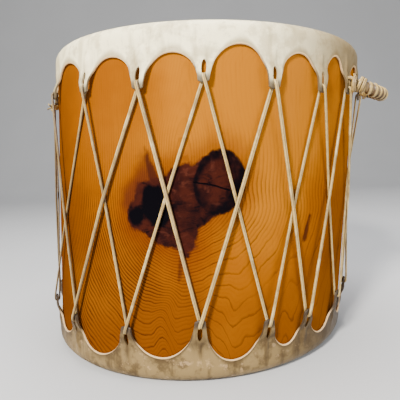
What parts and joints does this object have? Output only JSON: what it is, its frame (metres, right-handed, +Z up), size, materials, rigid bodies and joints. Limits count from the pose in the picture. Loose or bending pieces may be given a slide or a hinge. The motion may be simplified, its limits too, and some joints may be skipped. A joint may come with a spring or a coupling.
{
  "type": "ceremonial log drum",
  "caption": "Hollowed log drum with a laced rawhide head over each end and a wrapped carrying loop at one side.",
  "frame": {"origin": "centre of the flat underside of the bottom head", "axes": "+Z up out of the underside, the front with the large knot faces -Y, the handle is on the right towards +X"},
  "size_m": [0.3892, 0.368, 0.3308],
  "materials": {
    "varnished_wood": "amber varnished wood with fine growth lines and a large dark knot in front, semi-gloss",
    "cream_rawhide": "dry cream rawhide, mottled, stretched over the rim",
    "grey_rawhide": "greyer, worn rawhide with tension folds at the tips",
    "thong_rawhide": "pale rawhide thong, slightly twisted"
  },
  "bodies": {
    "root": {"log_shell": "varnished_wood", "top_head": "cream_rawhide", "bottom_head": "grey_rawhide", "under_lace": "thong_rawhide", "over_lace": "thong_rawhide", "handle": "thong_rawhide", "front_handle_tie": "thong_rawhide", "rear_handle_tie": "thong_rawhide"}
  },
  "joints": []
}
